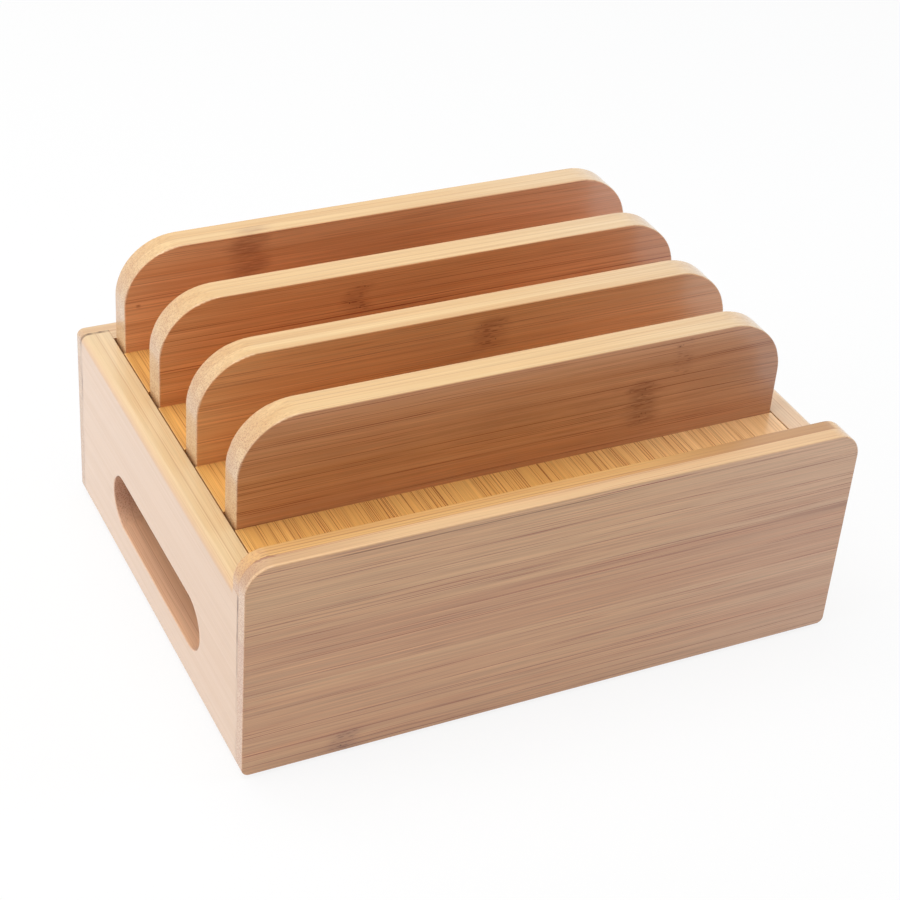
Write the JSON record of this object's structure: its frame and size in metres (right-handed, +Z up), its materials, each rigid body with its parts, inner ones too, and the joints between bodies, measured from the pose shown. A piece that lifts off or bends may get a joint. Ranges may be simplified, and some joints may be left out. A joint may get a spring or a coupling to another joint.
{
  "type": "charging station organizer",
  "caption": "Bamboo box with a lift-off deck that carries upright dividers for phones and tablets, cable slots, side handle slots and a compartment below for a power strip.",
  "frame": {"origin": "on the table under the middle of the box", "axes": "+X to the right along the dividers, +Y from the front wall to the back wall, +Z up"},
  "size_m": [0.255, 0.194, 0.127],
  "materials": {
    "bamboo_wall": "satin lacquer",
    "bamboo_deck": "satin lacquer",
    "bamboo_divider": "satin lacquer",
    "bamboo_inside": "sanded",
    "screw_steel": "zinc plated",
    "pad_rubber": "matte"
  },
  "bodies": {
    "box": {"front_panel": "bamboo_wall", "back_panel": "bamboo_wall", "left_panel": "bamboo_wall", "right_panel": "bamboo_wall", "bottom_panel": "bamboo_inside", "front_cleat": "bamboo_inside", "back_cleat": "bamboo_inside", "foot_pad_1": "pad_rubber", "foot_pad_2": "pad_rubber", "foot_pad_3": "pad_rubber", "foot_pad_4": "pad_rubber"},
    "lid": {"deck": "bamboo_deck", "divider_1": "bamboo_divider", "divider_2": "bamboo_divider", "divider_3": "bamboo_divider", "divider_4": "bamboo_divider", "divider_screws": "screw_steel"}
  },
  "joints": [
    {"name": "lid_lift", "type": "slide", "parent": "box", "child": "lid", "axis": [0, 0, 1], "range_m": [0, 0.08]}
  ]
}
